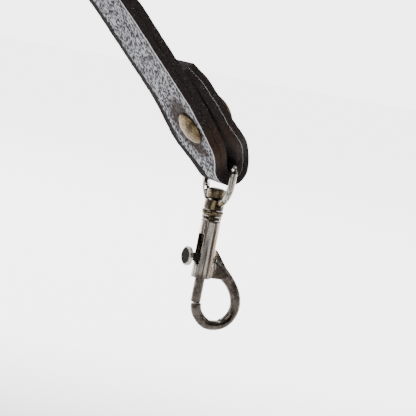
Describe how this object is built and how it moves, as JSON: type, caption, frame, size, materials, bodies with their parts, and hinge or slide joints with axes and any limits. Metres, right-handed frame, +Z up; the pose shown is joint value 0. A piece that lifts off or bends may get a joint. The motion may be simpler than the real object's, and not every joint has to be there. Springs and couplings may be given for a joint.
{
  "type": "training leash",
  "caption": "Flat two-ply strap folded and riveted round the D eye of a swivel bolt snap, with the spare strap coiled round its hand loop.",
  "frame": {"origin": "inside top of the handle loop, in the middle of the strap's width, where a hand or a peg carries the leash", "axes": "+Z up, +X from the hand towards the hook end, +Y across the strap's width, away from the hook's thumb-stud viewer side"},
  "size_m": [0.2369, 0.02, 0.144],
  "materials": {
    "face_cloth": "grey woven face with fine dark flecks",
    "lining_cloth": "dark felted lining",
    "strap_cloth": "grey woven face over a dark lining",
    "antique_brass": "worn antique brass plating",
    "nickel_plate": "bright nickel plating, worn on the hook",
    "dark_nickel": "darkened steel",
    "spring_steel": "bright drawn wire"
  },
  "bodies": {
    "leash": {"strap_face_hook_end": "face_cloth", "strap_lining_hook_end": "lining_cloth", "strap_run": "strap_cloth", "strap_coil": "strap_cloth", "handle_loop": "strap_cloth", "handle_tab": "strap_cloth", "hook_rivet_cap": "antique_brass", "hook_rivet_back": "antique_brass", "handle_rivet_cap": "antique_brass", "handle_rivet_back": "antique_brass"},
    "eye": {"eye_ring": "nickel_plate"},
    "hook": {"swivel_stud": "nickel_plate", "swivel_washer_1": "dark_nickel", "swivel_washer_2": "nickel_plate", "hook_body": "nickel_plate", "bolt_spring": "spring_steel"},
    "bolt": {"bolt": "nickel_plate", "thumb_stud": "nickel_plate"}
  },
  "joints": [
    {"name": "eye_swing", "type": "hinge", "parent": "leash", "child": "eye", "pos_m": [0.152, 0, -0.0552], "axis": [0, 1, 0], "range_deg": [-100, 50]},
    {"name": "hook_spin", "type": "hinge", "parent": "eye", "child": "hook", "pos_m": [0.152, 0, -0.0552], "axis": [0, 0, 1], "continuous": true},
    {"name": "bolt_slide", "type": "slide", "parent": "hook", "child": "bolt", "axis": [0, 0, 1], "range_m": [0, 0.0046], "stiffness_N_per_m": 300, "springref_m": -0.004, "deforming": ["bolt_spring"]}
  ]
}
